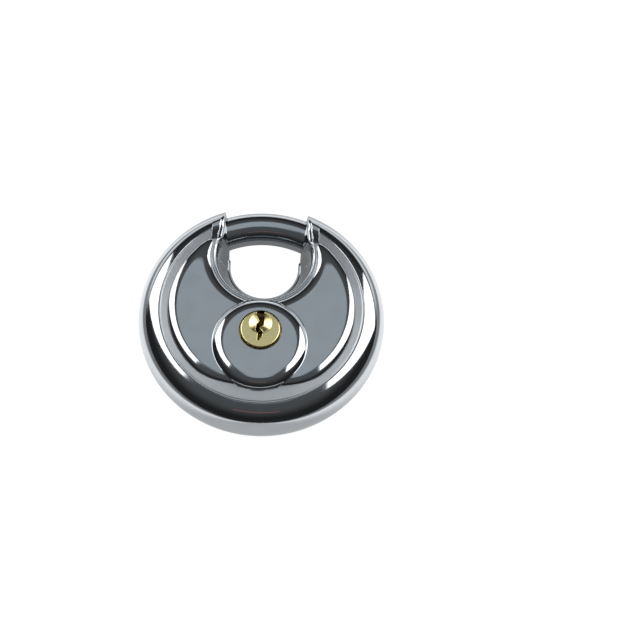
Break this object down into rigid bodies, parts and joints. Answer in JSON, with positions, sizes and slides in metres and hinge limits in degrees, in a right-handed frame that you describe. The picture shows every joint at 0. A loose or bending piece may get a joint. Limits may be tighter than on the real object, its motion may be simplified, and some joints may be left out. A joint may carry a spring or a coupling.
{
  "type": "disc padlock",
  "caption": "Round stainless disc padlock with a raised crescent face, a brass key cylinder in a round boss and a curved shackle across the notch.",
  "frame": {"origin": "on the disc axis, in the plane of the rear face that the lock rests on", "axes": "+Z leaves the front face along the disc axis; +Y points out through the middle of the notch; +X is to the right seen from the front"},
  "size_m": [0.07, 0.0684, 0.0211],
  "materials": {
    "polished_steel": "polished stainless steel",
    "shackle_steel": "polished hardened steel",
    "body_steel": "plain machined steel",
    "dark_steel": "blackened hardened steel",
    "plug_brass": "fine turned brass",
    "housing_brass": "plain machined brass",
    "spring_steel": "bright spring wire"
  },
  "bodies": {
    "casing": {"front_shell": "polished_steel", "rear_shell": "polished_steel", "lock_body": "body_steel", "guard_plate_left": "dark_steel", "guard_plate_right": "dark_steel", "housing_grub_screw": "dark_steel", "cylinder_housing": "housing_brass", "chamber_cover": "housing_brass", "guard_screw_1": "dark_steel", "guard_screw_2": "dark_steel", "guard_screw_3": "dark_steel", "guard_screw_4": "dark_steel", "driver_pin_1": "spring_steel", "driver_pin_2": "spring_steel", "driver_pin_3": "spring_steel", "driver_pin_4": "spring_steel", "pin_spring_1": "spring_steel", "pin_spring_2": "spring_steel", "pin_spring_3": "spring_steel", "pin_spring_4": "spring_steel"},
    "shackle_bar": {"shackle": "shackle_steel", "drive_pin": "body_steel"},
    "plug": {"cylinder_plug": "plug_brass", "driver_arm": "body_steel", "arm_screw": "dark_steel"},
    "key_pin_1_body": {"key_pin_1": "housing_brass"},
    "key_pin_2_body": {"key_pin_2": "housing_brass"},
    "key_pin_3_body": {"key_pin_3": "housing_brass"},
    "key_pin_4_body": {"key_pin_4": "housing_brass"}
  },
  "joints": [
    {"name": "shackle_turn", "type": "hinge", "parent": "casing", "child": "shackle_bar", "pos_m": [0, 0, 0.0095], "axis": [0, 0, -1], "range_deg": [0, 60]},
    {"name": "key_turn", "type": "hinge", "parent": "casing", "child": "plug", "pos_m": [0, -0.0082, 0.012], "axis": [0, 0, -1], "range_deg": [0, 81.42]},
    {"name": "key_pin_1_drop", "type": "slide", "parent": "plug", "child": "key_pin_1_body", "axis": [0, 1, 0], "range_m": [0, 0.0008]},
    {"name": "key_pin_2_drop", "type": "slide", "parent": "plug", "child": "key_pin_2_body", "axis": [0, 1, 0], "range_m": [0, 0.0008]},
    {"name": "key_pin_3_drop", "type": "slide", "parent": "plug", "child": "key_pin_3_body", "axis": [0, 1, 0], "range_m": [0, 0.0008]},
    {"name": "key_pin_4_drop", "type": "slide", "parent": "plug", "child": "key_pin_4_body", "axis": [0, 1, 0], "range_m": [0, 0.0008]}
  ],
  "couplings": [
    {"joint": "key_turn", "follows": "shackle_turn", "ratio": 1.3567}
  ]
}
